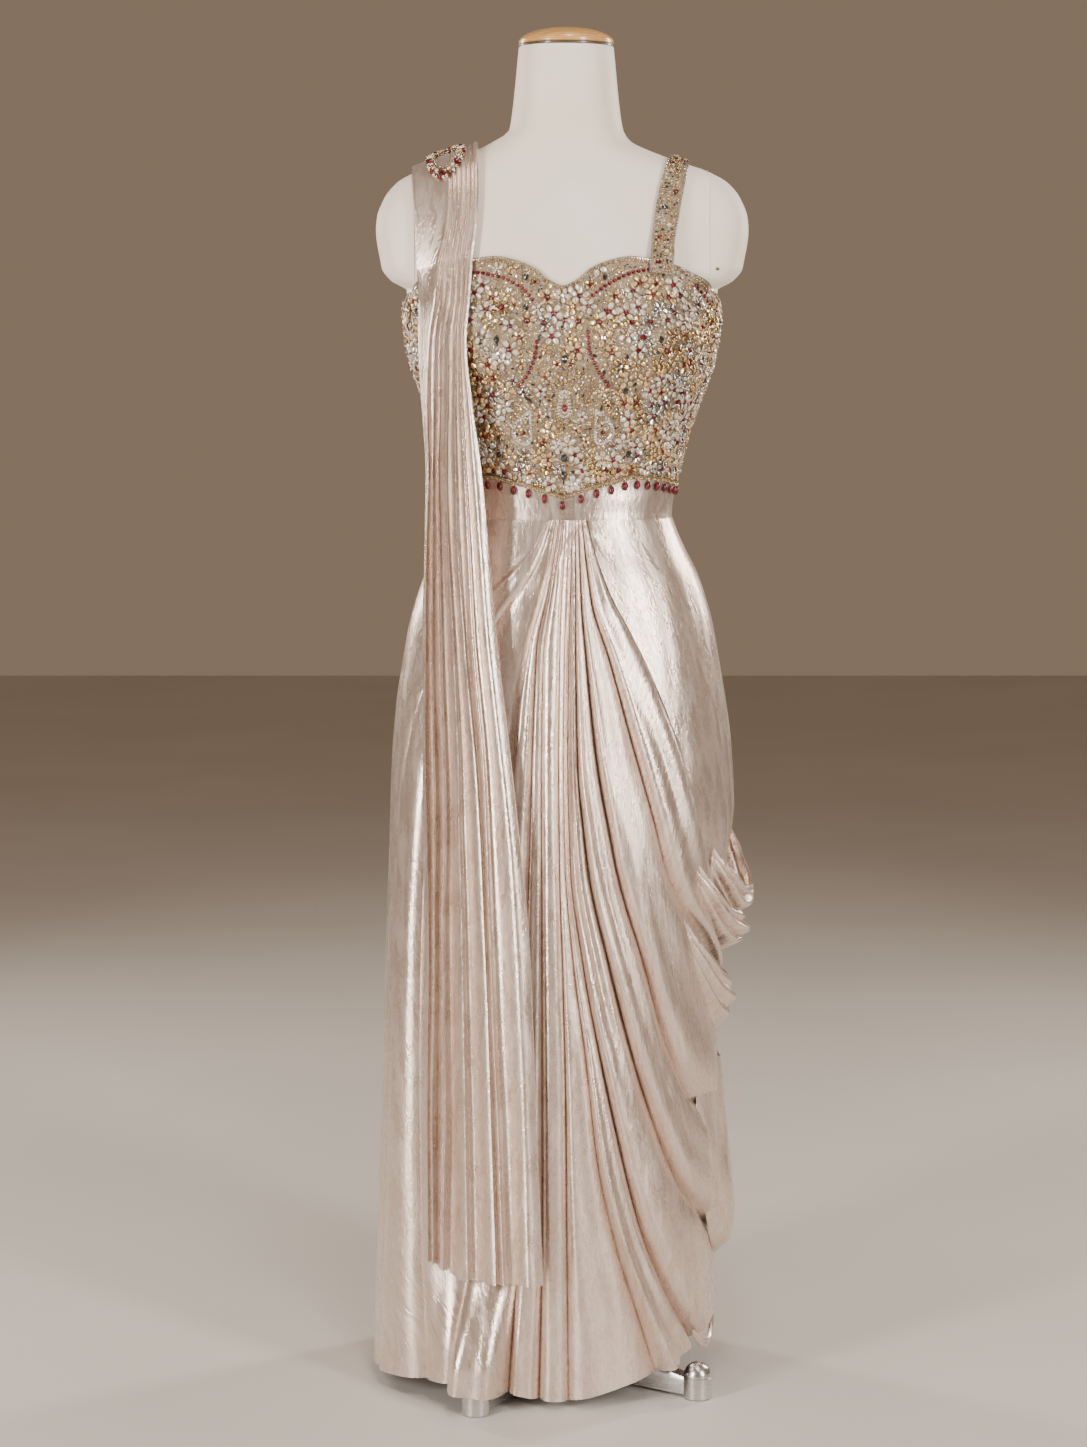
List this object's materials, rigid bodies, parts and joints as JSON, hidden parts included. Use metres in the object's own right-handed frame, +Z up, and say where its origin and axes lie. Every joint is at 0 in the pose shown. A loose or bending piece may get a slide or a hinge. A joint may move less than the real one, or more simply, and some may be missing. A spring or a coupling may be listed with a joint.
{
  "type": "saree gown on a dress form",
  "caption": "Floor-length draped gown with beaded bodice, shoulder strap and long pleated shoulder drape, on a limbless dress form with a footed metal stand.",
  "frame": {"origin": "middle of the whole object's outline on the floor, under the feet", "axes": "+Z up, -Y towards the front of the gown, +X towards the wearer's left"},
  "size_m": [0.4512, 0.3957, 1.579],
  "materials": {
    "foil_jersey": "foil-printed metallic stretch jersey",
    "beadwork": "dense metallic and pearl beadwork",
    "garnet_beads": "polished dark red beads",
    "form_canvas": "smooth off-white cover",
    "cap_wood": "varnished",
    "cap_rim": "dark stained",
    "stand_steel": "satin"
  },
  "bodies": {
    "root": {"form_body": "form_canvas", "form_cap_rim": "cap_rim", "form_cap": "cap_wood", "stand_pole": "stand_steel", "stand_hub": "stand_steel", "stand_leg_front_right": "stand_steel", "stand_leg_front_left": "stand_steel", "stand_leg_back_right": "stand_steel", "stand_leg_back_left": "stand_steel", "bodice_front_centre": "beadwork", "bodice_front_right": "beadwork", "bodice_front_left": "beadwork", "bodice_back_right": "beadwork", "bodice_back_left": "beadwork", "shoulder_strap_left": "beadwork", "shoulder_patch": "beadwork", "bead_drop_edging": "garnet_beads", "pallu": "foil_jersey", "waistband_front_right": "foil_jersey", "waistband_front_left": "foil_jersey", "waistband_back": "foil_jersey", "skirt_front_drape": "foil_jersey", "skirt_hip_panel": "foil_jersey", "skirt_back_right": "foil_jersey", "skirt_back_left": "foil_jersey", "side_cowl_upper": "foil_jersey", "side_cowl_middle": "foil_jersey", "side_cowl_lower": "foil_jersey", "side_fold": "foil_jersey", "hem_cowl": "foil_jersey"}
  },
  "joints": []
}
